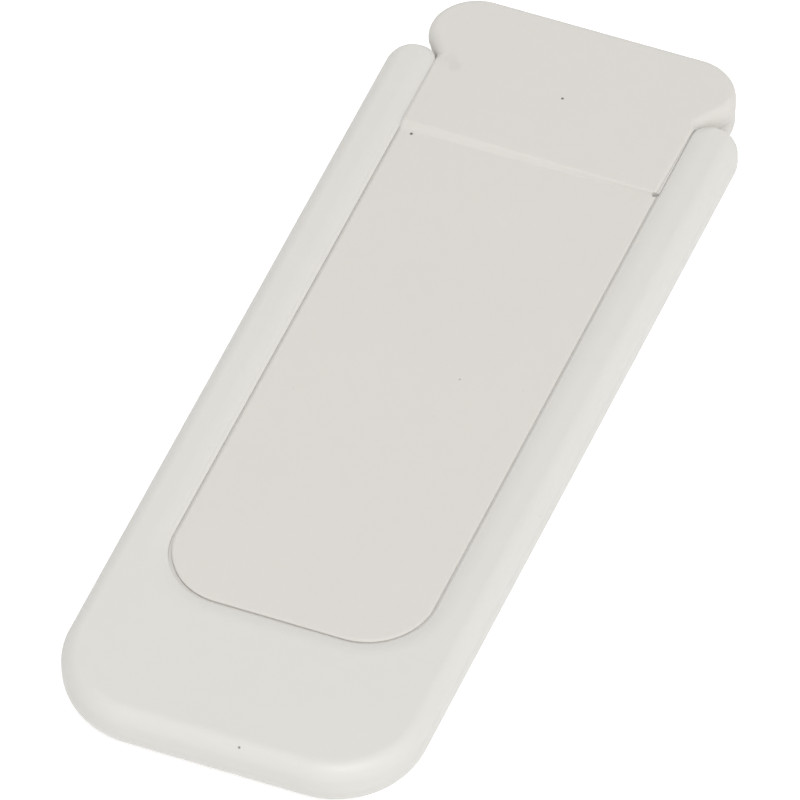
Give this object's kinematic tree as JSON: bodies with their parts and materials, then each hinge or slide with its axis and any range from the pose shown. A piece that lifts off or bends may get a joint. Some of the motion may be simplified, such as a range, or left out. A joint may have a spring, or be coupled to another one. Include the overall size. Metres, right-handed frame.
{
  "type": "stair gate latch",
  "caption": "Flat gate latch: a U-shaped moulded case with a spring-returned T-headed slide that frees a headed stud from a keyhole plate when pulled.",
  "frame": {"origin": "centre of the case's flat back face", "axes": "+Z is the front face's normal, +Y runs along the case towards the slide's T-shaped grip, +X runs across to the right as seen from the front"},
  "size_m": [0.04, 0.1084, 0.0066],
  "materials": {
    "white_plastic": "satin moulded, warm off-white",
    "back_plastic": "fine matt moulded, light grey",
    "sheet_steel": "stamped stainless sheet",
    "fastener_steel": "bright zinc",
    "spring_steel": "drawn wire",
    "brass": "turned",
    "rubber": "matt"
  },
  "bodies": {
    "case": {"housing": "white_plastic", "back_plate": "back_plastic", "return_spring_left": "spring_steel", "return_spring_right": "spring_steel", "spring_guide_left": "fastener_steel", "spring_guide_right": "fastener_steel", "back_screw_1": "fastener_steel", "back_screw_2": "fastener_steel", "back_screw_3": "fastener_steel", "back_screw_4": "fastener_steel", "mounting_insert_left": "brass", "mounting_insert_right": "brass", "bumper_left": "rubber", "bumper_right": "rubber"},
    "slide": {"slide_carrier": "white_plastic", "slide_face": "white_plastic", "locking_plate": "sheet_steel", "plate_rivet_1": "fastener_steel", "plate_rivet_2": "fastener_steel", "plate_rivet_3": "fastener_steel", "plate_rivet_4": "fastener_steel", "face_screw_left": "fastener_steel", "face_screw_right": "fastener_steel"}
  },
  "joints": [
    {"name": "slide_pull", "type": "slide", "parent": "case", "child": "slide", "axis": [0, 1, 0], "range_m": [0, 0.01], "stiffness_N_per_m": 300, "springref_m": -0.01, "deforming": ["return_spring_left", "return_spring_right"]}
  ]
}
